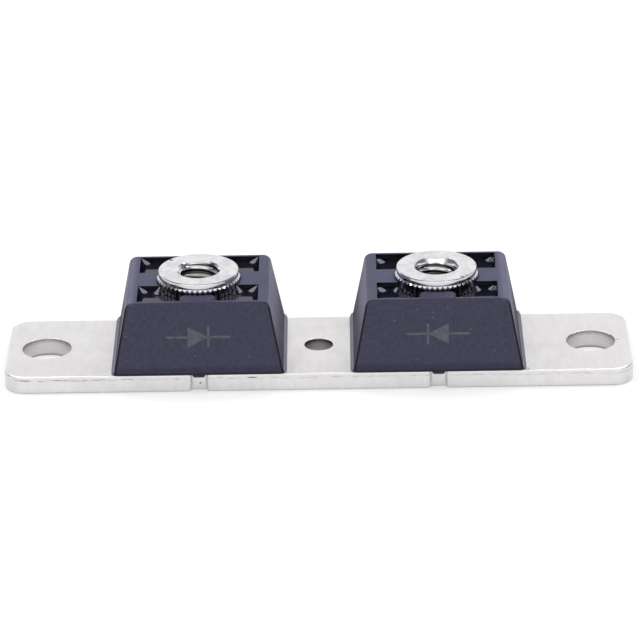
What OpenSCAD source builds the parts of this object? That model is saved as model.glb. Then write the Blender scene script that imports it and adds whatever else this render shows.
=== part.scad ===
// Two-post ultrafast diode module. A plated base plate carries two moulded towers, and each
// tower holds a knurled, threaded terminal above a soldered diode chip sealed in epoxy.
// Millimetres, +Z up, origin at the middle of the base plate's underside.

/* [Base plate] */
// Length of the plate along X
plate_l = 91.5; // [90:0.1:110]
// Width of the plate along Y
plate_w = 20.2; // [19:0.1:26]
// Thickness of the plate
plate_t = 2.7; // [1.6:0.1:4]
// Radius of the plate's corners seen from above
plate_corner_r = 3; // [1:0.1:6]
// Distance from the middle of each mounting hole to the nearer end of the plate
mount_inset = 5.745; // [4.7:0.005:8]
// Diameter of each mounting hole
mount_d = 7.2; // [5:0.1:8]
// Diameter of the hole in the middle of the plate
centre_d = 4.2; // [2:0.1:6]
// Width of the locating notch in each long edge, under each tower
notch_w = 2.15; // [1.2:0.05:4]
// Depth of the locating notch
notch_depth = 0.6; // [0.3:0.05:1.2]
// Rounding of the notch's mouth
notch_mouth_r = 0.45; // [0.1:0.05:0.6]

/* [Tower housings] */
// Distance between the middles of the two towers
tower_pitch = 34.75; // [31:0.05:40]
// Length of each tower along X over its flange
flange_l = 25.5; // [23:0.1:28]
// How far the tower stands out past each long edge of the plate
flange_overhang = 0.2; // [0.05:0.05:0.6]
// Thickness of the flange
flange_h = 0.45; // [0.3:0.05:0.9]
// Radius of the flange's corners seen from above
flange_corner_r = 0.8; // [0.3:0.05:1.5]
// Width of the ledge that the flange leaves at each end
end_ledge = 0.5; // [0.4:0.05:1]
// Rounding between the ledge and the end wall above it
foot_r = 0.4; // [0.1:0.05:0.45]
// Height of the upright band at the foot of the two side walls
band_h = 1.2; // [0.6:0.1:2.5]
// Height of each housing, from the plate to its top face
housing_h = 10.85; // [9.5:0.05:13]
// Lean of the two end walls in degrees
end_lean = 10.7; // [4:0.1:13]
// Lean of the two side walls in degrees
side_lean = 10; // [4:0.1:11]
// Rounding of the top edge at the two ends
end_top_r = 0.8; // [0.2:0.05:1]
// Rounding of the top edge along the two sides
side_top_r = 0.3; // [0.1:0.05:0.4]
// Width of the rim at the two ends of the opening
end_rim = 1.55; // [0.9:0.05:2.4]
// Width of the rim along the two sides of the opening
side_rim = 0.5; // [0.4:0.05:1.6]
// Wall of the housing at its foot
foot_wall = 1.8; // [1.2:0.1:2.4]
// Width of the arms that reach in from the ends
end_arm_w = 4.9; // [3:0.1:8]
// Width of the arms that reach in from the sides
side_arm_w = 5.15; // [3:0.05:8]
// Height of the arms
arm_h = 4; // [2:0.1:4.4]
// Rounding of the side arms' tips
arm_tip_r = 1.1; // [0.3:0.1:1.4]
// How far the housing's lugs reach down into the plate's notches
lug_drop = 0.4; // [0.2:0.05:1.2]
// Gap around each lug in its notch
lug_gap = 0.1; // [0.05:0.01:0.25]

/* [Terminals] */
// Height of each terminal's top face above its housing
terminal_rise = 1.45; // [0.8:0.05:3]
// Diameter of the plain collar on top
collar_d = 11.7; // [9:0.1:12.2]
// Height of the collar
collar_h = 0.85; // [0.3:0.05:1.2]
// Bevel around the collar's top face
collar_bevel = 0.12; // [0.05:0.01:0.25]
// Diameter over the knurl's teeth
knurl_d = 12.2; // [11:0.1:14]
// Number of teeth in the knurl
knurl_teeth = 50; // [24:1:64]
// Depth of the knurl's teeth
knurl_depth = 0.22; // [0.1:0.02:0.5]
// Length of the knurled band
knurl_l = 5.05; // [4:0.05:7]
// Bevel at both ends of the knurled band
knurl_bevel = 0.3; // [0.1:0.05:0.5]
// Gap between the knurl and the housing's arms
grip_gap = 0.03; // [0.01:0.01:0.15]
// Diameter of the plain stem under the knurl
stem_d = 9.4; // [7:0.1:10.4]
// Diameter of the terminal's hole, at the crests of its thread
bore_d = 5.2; // [4:0.05:6]
// Diameter of the countersunk mouth of that hole
mouth_d = 6.6; // [6.1:0.05:8]
// Metal left under the hole
floor_t = 0.9; // [0.5:0.1:1.5]
// Diameter of the spigot that holds the strap
spigot_d = 3.2; // [2:0.1:4.5]
// Gap around the spigot in the strap's hole
spigot_gap = 0.02; // [0.01:0.01:0.1]

/* [Chip and strap] */
// Thickness of each layer of solder
solder_t = 0.1; // [0.05:0.01:0.2]
// Side of the square buffer plate under the chip
lower_buffer_side = 13; // [11:0.1:14]
// Thickness of the buffer plate under the chip
lower_buffer_t = 0.5; // [0.3:0.05:1]
// Side of the square chip
chip_side = 12; // [8:0.1:13]
// Thickness of the chip
chip_t = 0.3; // [0.2:0.05:0.5]
// Side of the square buffer plate over the chip
upper_buffer_side = 9.6; // [7.5:0.1:11.5]
// Thickness of the buffer plate over the chip
upper_buffer_t = 0.4; // [0.3:0.05:0.8]
// Thickness of the folded strap
strap_t = 0.5; // [0.3:0.05:0.8]
// Width of the strap
strap_w = 7; // [5:0.1:9]
// Length of each flat of the strap
strap_l = 9; // [6:0.1:10]
// Space between the strap's two flats
strap_gap = 0.8; // [0.4:0.05:1.5]

/* [Potting] */
// How far the epoxy's surface lies below the housing's top face
potting_drop = 0.9; // [0.3:0.05:2]

/* [Hidden] */
$fn = 64;
// Reach of a cut past the faces that it opens
over = 1;

nickel = [0.86, 0.86, 0.86];
bright_nickel = [0.92, 0.92, 0.9];
slate_plastic = [0.26, 0.25, 0.32];
black_epoxy = [0.06, 0.06, 0.07];
copper = [0.78, 0.47, 0.33];
molybdenum = [0.55, 0.56, 0.6];
silicon = [0.3, 0.32, 0.38];
solder = [0.72, 0.73, 0.75];

mount_pitch = plate_l - 2 * mount_inset;
flange_w = plate_w + 2 * flange_overhang;
flange_z = plate_t + flange_h;
housing_z = plate_t + housing_h;
arm_z = housing_z - arm_h;
potting_z = housing_z - potting_drop;

end_foot = flange_l / 2 - end_ledge;
end_top = lean_top(end_foot, flange_h, end_lean);
side_top = lean_top(flange_w / 2, band_h, side_lean);
cavity_foot = [flange_l / 2 - foot_wall, flange_w / 2 - foot_wall];
cavity_top = [end_top - end_rim, side_top - side_rim];

terminal_z = housing_z + terminal_rise;
knurl_top_z = terminal_z - collar_h;
knurl_z = knurl_top_z - knurl_l;

// Layers under the strap, from the plate up: name, side, thickness, colour
LAYERS = [
    ["base_solder", lower_buffer_side, solder_t, solder],
    ["lower_buffer", lower_buffer_side, lower_buffer_t, molybdenum],
    ["chip_solder", chip_side, solder_t, solder],
    ["chip", chip_side, chip_t, silicon],
    ["top_solder", upper_buffer_side, solder_t, solder],
    ["upper_buffer", upper_buffer_side, upper_buffer_t, molybdenum],
    ["strap_solder", strap_w, solder_t, solder]
];
strap_z = layer_z(len(LAYERS));
stem_z = strap_z + 2 * strap_t + strap_gap;

SIDES = ["left", "right"];
LAYER_NAMES = [for (layer = LAYERS) layer[0]];
PIECES = concat(["housing", "terminal", "potting", "strap"], LAYER_NAMES);

// Height of the underside of a layer
function layer_z(index) = index == 0 ? plate_t : layer_z(index - 1) + LAYERS[index - 1][2];

// Half width at the housing's top of a face that stands upright first and leans in above that
function lean_top(half, upright, lean) = half - (housing_h - upright) * tan(lean);

// Distance from a corner to where a rounding of that corner ends, between a leaning and a level line
function tangent(r, lean) = r * tan(45 - lean / 2);

// Half length and half width of a tower's inside at a height
function cavity_half(z) = cavity_foot + (z - plate_t) / housing_h * (cavity_top - cavity_foot);

// Corners of an upright face that is symmetrical about its middle line
function trapezium(low, high, z0, z1) = [[-low, z0], [low, z0], [high, z1], [-high, z1]];

// The pieces of a tower stand alike in both towers, turned end for end
module at_tower(side) {
    turned = side == "left" ? 180 : 0;
    rotate([0, 0, turned]) translate([tower_pitch / 2, 0, 0]) children();
}

module rounded_outline(length, width, r) {
    square([length - 2 * r, width], center = true);
    square([length, width - 2 * r], center = true);
    for (x = [-1, 1], y = [-1, 1])
        translate([x * (length / 2 - r), y * (width / 2 - r)]) circle(r);
}

// Notch cut inwards along +Y from an edge that lies on y = 0
module notch_outline() {
    translate([-notch_w / 2, -over]) square([notch_w, over + notch_depth]);
    for (hand = [-1, 1])
        scale([hand, 1]) translate([notch_w / 2, 0]) difference() {
            square(notch_mouth_r);
            translate([notch_mouth_r, notch_mouth_r]) circle(notch_mouth_r);
        }
}

module base_plate() {
    color(nickel) linear_extrude(plate_t) difference() {
        rounded_outline(plate_l, plate_w, plate_corner_r);
        circle(d = centre_d);
        for (hand = [-1, 1])
            translate([hand * mount_pitch / 2, 0]) circle(d = mount_d);
        for (hand = [-1, 1], turn = [0, 180])
            rotate(turn) translate([hand * tower_pitch / 2, -plate_w / 2]) notch_outline();
    }
}

// Outline of a tower's face, upright at its foot, leaning in above that, with round upper corners
module leaning_face(half, upright, lean, r) {
    top = lean_top(half, upright, lean);
    cut = tangent(r, lean);
    edge = [
        [half, plate_t],
        [half, plate_t + upright],
        [top + cut * sin(lean), housing_z - cut * cos(lean)],
        [top - cut, housing_z]
    ];
    polygon(concat(edge, [for (i = [len(edge) - 1 : -1 : 0]) [-edge[i][0], edge[i][1]]]));
    for (hand = [-1, 1])
        translate([hand * (top - cut), housing_z - r]) circle(r);
}

// A tower seen from its long side: the end walls, the flange and the roundings between them
module front_view() {
    cut = tangent(foot_r, end_lean);
    leaning_face(end_foot, flange_h, end_lean, end_top_r);
    translate([-flange_l / 2, plate_t]) square([flange_l, flange_h]);
    for (hand = [-1, 1])
        scale([hand, 1]) translate([end_foot, flange_z]) difference() {
            polygon([[0, 0], [cut, 0], [-cut * sin(end_lean), cut * cos(end_lean)]]);
            translate([cut, foot_r]) circle(foot_r);
        }
}

// The three views of a tower's outside, each drawn out into a block, and what the blocks share
module housing_outside() {
    intersection() {
        rotate([90, 0, 0]) linear_extrude(flange_w + 2 * over, center = true) front_view();
        rotate([90, 0, 90]) linear_extrude(flange_l + 2 * over, center = true)
            leaning_face(flange_w / 2, band_h, side_lean, side_top_r);
        translate([0, 0, plate_t - over]) linear_extrude(housing_h + 2 * over)
            rounded_outline(flange_l, flange_w, flange_corner_r);
    }
}

// Space inside a tower between two heights
module cavity(z0, z1) {
    low = cavity_half(z0);
    high = cavity_half(z1);
    intersection() {
        rotate([90, 0, 0]) linear_extrude(flange_w, center = true)
            polygon(trapezium(low[0], high[0], z0, z1));
        rotate([90, 0, 90]) linear_extrude(flange_l, center = true)
            polygon(trapezium(low[1], high[1], z0, z1));
    }
}

// Four arms around the terminal, longer than the space that they cross
module arms() {
    tip = knurl_d / 2 - knurl_depth;
    translate([0, 0, arm_z]) difference() {
        linear_extrude(arm_h + over) {
            square([flange_l, end_arm_w], center = true);
            for (hand = [-1, 1])
                translate([0, hand * (tip + flange_w) / 2])
                    rounded_outline(side_arm_w, flange_w - tip, arm_tip_r);
        }
        translate([0, 0, -over]) cylinder(d = knurl_d + 2 * grip_gap, h = arm_h + 3 * over);
    }
}

// Lugs under the side walls that drop into the notches of the plate
module lugs() {
    inner = plate_w / 2 - notch_depth + lug_gap;
    width = notch_w - 2 * lug_gap;
    for (turn = [0, 180])
        rotate(turn) translate([-width / 2, inner, plate_t - lug_drop])
            cube([width, flange_w / 2 - inner, lug_drop + band_h / 2]);
}

module housing() {
    color(slate_plastic) {
        difference() {
            housing_outside();
            difference() {
                cavity(plate_t - over, housing_z + over);
                arms();
            }
            translate([0, 0, arm_z]) cylinder(d = knurl_d + 2 * grip_gap, h = arm_h + over);
        }
        lugs();
    }
}

// Straight teeth around the terminal
module knurl_outline() {
    step = 360 / knurl_teeth;
    tip = knurl_d / 2;
    root = tip - knurl_depth;
    polygon([for (tooth = [0 : knurl_teeth - 1], half = [0, 1])
        (half == 0 ? tip : root) * [cos((tooth + half / 2) * step), sin((tooth + half / 2) * step)]]);
}

// The knurled band, with the teeth bevelled off at both ends
module knurled_band() {
    clear = knurl_d / 2 + over;
    rim = knurl_d / 2 - knurl_bevel;
    rise = clear - rim;
    intersection() {
        linear_extrude(knurl_l) knurl_outline();
        rotate_extrude()
            polygon([[0, 0], [rim, 0], [clear, rise], [clear, knurl_l - rise], [rim, knurl_l], [0, knurl_l]]);
    }
}

module terminal() {
    bore_z = stem_z + floor_t;
    mouth_h = (mouth_d - bore_d) / 2;
    color(bright_nickel) difference() {
        union() {
            rotate_extrude() polygon([
                [0, stem_z - strap_t],
                [spigot_d / 2, stem_z - strap_t],
                [spigot_d / 2, stem_z],
                [stem_d / 2, stem_z],
                [stem_d / 2, knurl_top_z],
                [collar_d / 2, knurl_top_z],
                [collar_d / 2, terminal_z - collar_bevel],
                [collar_d / 2 - collar_bevel, terminal_z],
                [0, terminal_z]
            ]);
            translate([0, 0, knurl_z]) knurled_band();
        }
        translate([0, 0, bore_z]) cylinder(d = bore_d, h = terminal_z - bore_z + over);
        translate([0, 0, terminal_z - mouth_h])
            cylinder(d1 = bore_d, d2 = mouth_d + 2 * over, h = mouth_h + over);
    }
}

// Room that the terminal takes up inside its tower
module terminal_room() {
    translate([0, 0, stem_z]) cylinder(d = stem_d, h = knurl_z - stem_z + over);
    translate([0, 0, knurl_z]) cylinder(d = knurl_d + 2 * grip_gap, h = terminal_z - knurl_z);
}

// Strip folded back on itself, one flat on the chip and one under the terminal
module strap_sheet() {
    bend_r = strap_gap / 2 + strap_t;
    translate([0, 0, strap_z + bend_r]) rotate([90, 0, 0]) linear_extrude(strap_w, center = true) {
        for (low = [-bend_r, strap_gap / 2])
            translate([-strap_l / 2, low]) square([strap_l, strap_t]);
        translate([strap_l / 2, 0]) intersection() {
            difference() {
                circle(bend_r);
                circle(strap_gap / 2);
            }
            translate([0, -bend_r]) square([bend_r, 2 * bend_r]);
        }
    }
}

module strap() {
    color(copper) difference() {
        strap_sheet();
        translate([0, 0, stem_z - strap_t - strap_gap / 2])
            cylinder(d = spigot_d + 2 * spigot_gap, h = strap_t + strap_gap);
    }
}

module stack_layer(index) {
    side = LAYERS[index][1];
    thickness = LAYERS[index][2];
    color(LAYERS[index][3]) translate([-side / 2, -side / 2, layer_z(index)])
        cube([side, side, thickness]);
}

module potting() {
    color(black_epoxy) difference() {
        cavity(plate_t, potting_z);
        arms();
        terminal_room();
        strap_sheet();
        for (index = [0 : len(LAYERS) - 1])
            stack_layer(index);
    }
}

base_plate();
for (side = SIDES) {
    at_tower(side) housing();
    at_tower(side) terminal();
    at_tower(side) potting();
    at_tower(side) strap();
    for (index = [0 : len(LAYERS) - 1])
        at_tower(side) stack_layer(index);
}
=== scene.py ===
"""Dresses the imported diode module: a plated plate, two moulded towers, and a knurled screw terminal in each.

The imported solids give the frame. The plate, housings, terminals and epoxy are modelled again here with
the roundings, grooves, threads and liquid edges that the eye looks for, and every surface gets its finish.
"""
import logging
import math
from contextlib import contextmanager
from dataclasses import dataclass
from enum import Enum
from functools import reduce
from typing import Callable, Iterator, Sequence

import bmesh
import bpy
from mathutils import Matrix, Vector


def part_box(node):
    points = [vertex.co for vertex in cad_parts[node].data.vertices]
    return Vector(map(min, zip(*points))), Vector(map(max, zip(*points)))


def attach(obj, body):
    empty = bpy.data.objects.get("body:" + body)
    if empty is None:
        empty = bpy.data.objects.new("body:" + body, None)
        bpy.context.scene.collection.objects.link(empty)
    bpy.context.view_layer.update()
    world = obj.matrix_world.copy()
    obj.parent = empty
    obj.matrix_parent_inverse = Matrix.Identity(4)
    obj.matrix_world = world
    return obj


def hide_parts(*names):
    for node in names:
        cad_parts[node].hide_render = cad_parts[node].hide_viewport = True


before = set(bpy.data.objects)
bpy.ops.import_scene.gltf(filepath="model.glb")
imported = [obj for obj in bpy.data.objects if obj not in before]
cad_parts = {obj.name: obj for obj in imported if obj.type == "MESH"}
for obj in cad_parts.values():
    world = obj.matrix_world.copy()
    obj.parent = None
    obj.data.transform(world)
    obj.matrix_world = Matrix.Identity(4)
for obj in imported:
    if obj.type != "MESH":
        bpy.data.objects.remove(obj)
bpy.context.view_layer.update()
LOG = logging.getLogger("diode_module")
MM = 0.001
# How near two places count as the same
CLOSE = 0.002 * MM
# How far a cutter reaches past what it cuts
OVER = 1.0 * MM
# Distance of each tower's axis from the module's middle
TOWER_X = 17.375 * MM
# Segments of a plain round cutter
ROUND = 128

Span = tuple[float, float]
Triple = tuple[float, float, float]
Colour = Triple
Solid = bpy.types.Object
Socket = bpy.types.NodeSocket
Test = Callable[..., bool]
WHITE: Colour = (1.0, 1.0, 1.0)


class Side(Enum):
    """The two towers, by the sign of their place along X."""

    LEFT = -1
    RIGHT = 1

    @property
    def x(self) -> float:
        """Where the tower's axis stands."""
        return self.value * TOWER_X

    def named(self, piece: str) -> str:
        """Name of a piece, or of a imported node, in this tower."""
        return f"{piece}_{self.name.lower()}"


class Element(Enum):
    """What is picked in edit mode, by Blender's words for one and for several."""

    VERTEX = ("VERT", "VERTICES")
    EDGE = ("EDGE", "EDGES")


class Join(Enum):
    """How a second shape changes the first."""

    CUT = "DIFFERENCE"
    SHARE = "INTERSECT"
    ADD = "UNION"


# Hand tools of the modelling bench


def hold(obj: Solid) -> None:
    """Make one object the only selected and the active one.

    Args:
        obj: The object that the next operator works on.
    """
    bpy.ops.object.select_all(action="DESELECT")
    obj.select_set(True)
    bpy.context.view_layer.objects.active = obj


@contextmanager
def editing(obj: Solid) -> Iterator[None]:
    """Hold an object in edit mode for the length of a with block.

    Args:
        obj: The object to edit.
    """
    hold(obj)
    bpy.ops.object.mode_set(mode="EDIT")
    yield
    bpy.ops.object.mode_set(mode="OBJECT")


def apply_place() -> None:
    """Bake the held object's place, turn and scale into its mesh."""
    bpy.ops.object.transform_apply(location=True, rotation=True, scale=True)


def face_outward() -> None:
    """Turn all faces of the edited mesh outward."""
    bpy.ops.mesh.select_all(action="SELECT")
    bpy.ops.mesh.normals_make_consistent(inside=False)


def seal() -> None:
    """Merge what meets in the edited mesh and turn all its faces outward."""
    bpy.ops.mesh.select_all(action="SELECT")
    bpy.ops.mesh.remove_doubles(threshold=CLOSE)
    bpy.ops.mesh.normals_make_consistent(inside=False)


def primitive(add: Callable, **sizes: object) -> Solid:
    """Add a primitive as the only selected object.

    Args:
        add: Blender's operator that adds it.
        sizes: The operator's settings.

    Returns:
        The new object.
    """
    bpy.ops.object.select_all(action="DESELECT")
    add(**sizes)
    return bpy.context.object


def pick(obj: Solid, element: Element, test: Test) -> None:
    """Select the vertices or edges of the edited object that pass a test.

    Args:
        obj: The object in edit mode.
        element: Which kind of element to select.
        test: Takes one element and says whether it is wanted.
    """
    bpy.ops.mesh.select_mode(type=element.value[0])
    bpy.ops.mesh.select_all(action="DESELECT")
    mesh = bmesh.from_edit_mesh(obj.data)
    mesh.normal_update()
    stock = mesh.verts if element is Element.VERTEX else mesh.edges
    for item in [item for item in stock if test(item)]:
        item.select_set(True)
    bmesh.update_edit_mesh(obj.data)


def draw(name: str, points: Sequence[Vector], filled: bool = True) -> Solid:
    """Draw an outline by extruding one vertex from point to point.

    Args:
        name: Name of the new object.
        points: Corners of the outline in order.
        filled: Whether the outline is closed and filled with a face.

    Returns:
        The outline, with its origin at the world's.
    """
    outline = primitive(bpy.ops.mesh.primitive_plane_add, size=MM, location=points[0])
    outline.name = name
    with editing(outline):
        bpy.ops.mesh.select_mode(type="VERT")
        bpy.ops.mesh.select_all(action="SELECT")
        bpy.ops.mesh.merge(type="CENTER")
        for here, there in zip(points, points[1:]):
            bpy.ops.mesh.extrude_vertices_move(TRANSFORM_OT_translate={"value": there - here})
        if filled:
            bpy.ops.mesh.select_all(action="SELECT")
            bpy.ops.mesh.edge_face_add()
    apply_place()
    return outline


def draw_out(obj: Solid, move: Vector) -> Solid:
    """Extrude a filled outline into a block.

    Args:
        obj: The filled outline.
        move: How far and which way the block reaches.

    Returns:
        The same object.
    """
    with editing(obj):
        bpy.ops.mesh.select_all(action="SELECT")
        bpy.ops.mesh.extrude_region_move(TRANSFORM_OT_translate={"value": move})
        face_outward()
    return obj


def turned(name: str, profile: Sequence[Span], steps: int) -> Solid:
    """Spin an open outline once round the Z axis into a closed turned shape.

    Args:
        name: Name of the new object.
        profile: Radius and height of each corner; the first and last lie on the axis.
        steps: Number of steps in the full turn.

    Returns:
        The turned shape.
    """
    obj = draw(name, [Vector((radius, 0, z)) for radius, z in profile], filled=False)
    with editing(obj):
        bpy.ops.mesh.select_all(action="SELECT")
        bpy.ops.mesh.spin(steps=steps, angle=math.tau, center=(0, 0, 0), axis=(0, 0, 1))
        seal()
    return obj


def cylinder(radius: float, low_z: float, high_z: float, segments: int = ROUND) -> Solid:
    """Stand a cylinder on the Z axis.

    Args:
        radius: Its radius.
        low_z: Its lower end.
        high_z: Its upper end.
        segments: Number of its sides.

    Returns:
        The cylinder.
    """
    return primitive(bpy.ops.mesh.primitive_cylinder_add, vertices=segments, radius=radius,
                     depth=high_z - low_z, location=(0, 0, (low_z + high_z) / 2))


def rectangle(half_x: float, half_y: float, z: float) -> list[Vector]:
    """Corners of a level rectangle about the Z axis."""
    return [Vector((x * half_x, y * half_y, z)) for x, y in ((-1, -1), (1, -1), (1, 1), (-1, 1))]


def shape(obj: Solid, tool: Solid, join: Join) -> Solid:
    """Cut, share or add a second shape with a Boolean modifier, and throw that shape away.

    Args:
        obj: The shape that stays.
        tool: The shape that is used up.
        join: What the second shape does to the first.

    Returns:
        The shape that stays.
    """
    hold(obj)
    modifier = obj.modifiers.new(join.name, "BOOLEAN")
    modifier.object = tool
    modifier.operation = join.value
    modifier.solver = "MANIFOLD"
    bpy.ops.object.modifier_apply(modifier=modifier.name)
    bpy.data.objects.remove(tool)
    return obj


def copy_of(obj: Solid) -> Solid:
    """Copy an object together with its mesh.

    Args:
        obj: The object to copy.

    Returns:
        The copy.
    """
    twin = obj.copy()
    twin.data = obj.data.copy()
    bpy.context.scene.collection.objects.link(twin)
    return twin


def rounded(obj: Solid, element: Element, test: Test, width: float, segments: int) -> None:
    """Round corners of a flat outline, or edges of a solid, by bevelling them.

    Args:
        obj: The outline or solid.
        element: Vertices of an outline, or edges of a solid.
        test: Says which of them are rounded.
        width: How far from the corner or edge a rounding starts.
        segments: Number of segments in each rounding.
    """
    with editing(obj):
        pick(obj, element, test)
        bpy.ops.mesh.bevel(offset=width, segments=segments, affect=element.value[1], clamp_overlap=False)


def smooth(obj: Solid, degrees: float) -> None:
    """Shade a finished mesh smooth, keep its sharp edges, and let its broad faces stay flat.

    Args:
        obj: The finished mesh.
        degrees: Edges that turn by more than this stay sharp.
    """
    hold(obj)
    bpy.ops.object.shade_smooth_by_angle(angle=math.radians(degrees))
    modifier = obj.modifiers.new("even_shading", "WEIGHTED_NORMAL")
    modifier.keep_sharp = True
    bpy.ops.object.modifier_apply(modifier=modifier.name)


def set_down(obj: Solid, x: float, about: bool = False) -> None:
    """Move a piece to its place along the plate and bake the place into its mesh.

    Args:
        obj: The piece, modelled about the Z axis.
        x: Where its axis stands.
        about: Whether the piece is turned end for end.
    """
    hold(obj)
    obj.location = (x, 0, 0)
    obj.rotation_euler = (0, 0, math.pi if about else 0)
    apply_place()


def hand_over(obj: Solid, node: str, finish: bpy.types.Material) -> None:
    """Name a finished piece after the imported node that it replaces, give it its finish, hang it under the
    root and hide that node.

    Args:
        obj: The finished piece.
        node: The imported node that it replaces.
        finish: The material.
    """
    obj.name = node + "_dressed"
    obj.data.materials.clear()
    obj.data.materials.append(finish)
    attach(obj, "root")
    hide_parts(node)
    LOG.info("%s: %d faces, finish %s", obj.name, len(obj.data.polygons), finish.name)


def tangent_reach(radius: float, lean: float) -> float:
    """Distance from a corner to the start of its rounding, between a level and a leaning line."""
    return radius * math.tan(math.pi / 4 - lean / 2)


# Shader graphs


class Graph:
    """A node tree that is written from left to right."""

    def __init__(self, tree: bpy.types.NodeTree) -> None:
        """Start on a tree, emptied of its nodes."""
        self.tree = tree
        tree.nodes.clear()

    def node(self, kind: str, values: dict | None = None, **settings: object) -> bpy.types.Node:
        """Add a node.

        Args:
            kind: Blender's name of the node type.
            values: Input socket name or number, with a plain value or the output socket that feeds it.
            settings: Properties of the node itself.

        Returns:
            The new node.
        """
        node = self.tree.nodes.new(kind)
        for name, setting in settings.items():
            setattr(node, name, setting)
        for key, value in (values or {}).items():
            self.feed(node.inputs[key], value)
        return node

    def feed(self, socket: Socket, value: object) -> None:
        """Feed an input socket.

        Args:
            socket: The input.
            value: An output socket to link, or a plain value; a colour gets its alpha here.
        """
        if isinstance(value, Socket):
            self.tree.links.new(value, socket)
        else:
            socket.default_value = (*value, 1) if socket.type == "RGBA" else value

    def math(self, operation: str, *values: object) -> Socket:
        """Add a Math node for up to three values or sockets."""
        return self.node("ShaderNodeMath", dict(enumerate(values)), operation=operation).outputs[0]

    def times(self, *values: object) -> Socket:
        """Multiply values or sockets, one after another."""
        return reduce(lambda first, second: self.math("MULTIPLY", first, second), values)

    def scaled(self, value: Socket, gain: object, base: object) -> Socket:
        """Multiply a value by a gain and add a base."""
        return self.math("MULTIPLY_ADD", value, gain, base)

    def minus(self, first: object, second: object) -> Socket:
        """Take the second value from the first."""
        return self.math("SUBTRACT", first, second)

    def size(self, value: Socket) -> Socket:
        """A value without its sign."""
        return self.math("ABSOLUTE", value)

    def below(self, value: Socket, limit: object) -> Socket:
        """Mask of where a value is less than a limit."""
        return self.math("LESS_THAN", value, limit)

    def above(self, value: Socket, limit: object) -> Socket:
        """Mask of where a value is more than a limit."""
        return self.math("GREATER_THAN", value, limit)

    def radius(self, x: Socket, y: Socket) -> Socket:
        """Distance of a place from an upright axis."""
        return self.math("SQRT", self.math("ADD", self.times(x, x), self.times(y, y)))

    def ramp(self, value: Socket, low: float, high: float, start: float = 0.0, end: float = 1.0) -> Socket:
        """Map a value smoothly from the range low to high onto start to end."""
        values = {"Value": value, "From Min": low, "From Max": high, "To Min": start, "To Max": end}
        return self.node("ShaderNodeMapRange", values, interpolation_type="SMOOTHSTEP").outputs[0]

    def fall(self, value: Socket, low: float, high: float, start: float = 1.0) -> Socket:
        """Mask that fades to nothing as a value grows from low to high."""
        return self.ramp(value, low, high, start, 0.0)

    def noise(self, place: Socket, scale: object, detail: float, rough: float = 0.5,
              warp: float = 0.0) -> Socket:
        """Add a noise pattern."""
        values = {"Vector": place, "Scale": scale, "Detail": detail, "Roughness": rough, "Distortion": warp}
        return self.node("ShaderNodeTexNoise", values).outputs[0]

    def parts(self, vector: Socket) -> bpy.types.NodeOutputs:
        """The three parts of a vector."""
        return self.node("ShaderNodeSeparateXYZ", {0: vector}).outputs

    def stretched(self, vector: Socket, scale: Triple) -> Socket:
        """Coordinates scaled by a factor along each axis."""
        return self.node("ShaderNodeMapping", {"Vector": vector, "Scale": scale}).outputs[0]

    def blend(self, share: object, first: object, second: object) -> Socket:
        """Blend two colours.

        Args:
            share: How much of the second colour shows.
            first: First colour or socket.
            second: Second colour or socket.

        Returns:
            The blended colour's socket.
        """
        node = self.node("ShaderNodeMix", data_type="RGBA")
        for key, value in (("Factor", share), ("A", first), ("B", second)):
            self.feed(next(socket for socket in node.inputs if socket.name == key and socket.enabled), value)
        return next(socket for socket in node.outputs if socket.enabled)


class Effect(Enum):
    """Surface effects that several finishes share, each one a node group."""

    GRAIN = "fine_grain"
    SMUDGE = "handling_smudges"
    SPECK = "dust_specks"

    def group(self) -> bpy.types.NodeTree:
        """The effect's node group, built when it is first asked for.

        Returns:
            The node group.
        """
        if self.value in bpy.data.node_groups:
            return bpy.data.node_groups[self.value]
        tree = bpy.data.node_groups.new(self.value, "ShaderNodeTree")
        for name, kind in (("Vector", "Vector"), ("Scale", "Float"), ("Amount", "Float")):
            tree.interface.new_socket(name, in_out="INPUT", socket_type="NodeSocket" + kind)
        tree.interface.new_socket("Mask", in_out="OUTPUT", socket_type="NodeSocketFloat")
        graph = Graph(tree)
        source = graph.node("NodeGroupInput").outputs
        mask = self._mask(graph, source["Vector"], source["Scale"])
        graph.node("NodeGroupOutput", {"Mask": graph.times(mask, source["Amount"])})
        return tree

    def _mask(self, graph: Graph, place: Socket, scale: Socket) -> Socket:
        """The effect itself: grain of two sizes, broad soft patches, or specks in some cells of a pattern.

        Args:
            graph: The group's graph.
            place: The coordinates.
            scale: The scale, per metre.

        Returns:
            The mask.
        """
        if self is Effect.GRAIN:
            fine = graph.noise(place, scale, detail=3.0, rough=0.6)
            coarse = graph.noise(place, graph.times(scale, 0.23), detail=2.0)
            return graph.times(graph.math("ADD", fine, coarse), 0.5)
        if self is Effect.SMUDGE:
            return graph.ramp(graph.noise(place, scale, detail=4.0, rough=0.55, warp=0.6), 0.42, 0.66)
        cells = graph.node("ShaderNodeTexVoronoi", {"Vector": place, "Scale": scale}).outputs
        lot = graph.node("ShaderNodeSeparateColor", {0: cells["Color"]}).outputs[0]
        return graph.times(graph.fall(cells["Distance"], 0.05, 0.16), graph.above(lot, 0.86))


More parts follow.
